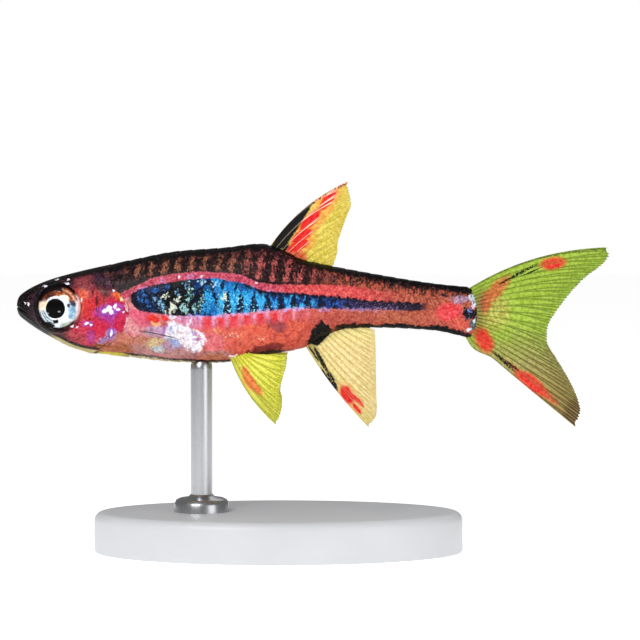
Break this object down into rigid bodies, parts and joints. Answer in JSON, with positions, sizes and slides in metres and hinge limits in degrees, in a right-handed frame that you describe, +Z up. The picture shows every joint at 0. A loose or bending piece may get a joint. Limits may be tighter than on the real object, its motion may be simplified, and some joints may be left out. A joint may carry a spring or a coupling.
{
  "type": "chili rasbora fish model on a display stand",
  "caption": "Life-size still model of a tiny slender rasbora fish with spread, rayed fins, held level by one rod on an oval plinth.",
  "frame": {"origin": "middle of the whole model's footprint, at the underside of the plinth", "axes": "+Z up, snout towards -X and tail towards +X, the fish's left flank towards -Y"},
  "size_m": [0.0205, 0.0074, 0.0128],
  "materials": {
    "skin": "glossy scaled skin, dark back, red flank, blue-black stripe",
    "eye": "silver iris and black pupil under a clear cornea",
    "dorsal_membrane": "translucent yellow membrane, black leading edge, red blotch",
    "anal_membrane": "translucent cream membrane, black front streak, red blotch",
    "caudal_membrane": "translucent green membrane with dark rays and red blotches",
    "pelvic_membrane": "translucent lemon membrane with a red blotch",
    "pectoral_membrane": "clear membrane with a dark leading ray",
    "plinth": "satin pale grey",
    "rod": "satin steel"
  },
  "bodies": {
    "root": {"head": "skin", "trunk": "skin", "tail_stalk": "skin", "eye_left": "eye", "eye_right": "eye", "dorsal_fin": "dorsal_membrane", "anal_fin": "anal_membrane", "caudal_fin_upper": "caudal_membrane", "caudal_fin_lower": "caudal_membrane", "pelvic_fin_left": "pelvic_membrane", "pelvic_fin_right": "pelvic_membrane", "pectoral_fin_left": "pectoral_membrane", "pectoral_fin_right": "pectoral_membrane", "stand_base": "plinth", "stand_rod": "rod"}
  },
  "joints": []
}
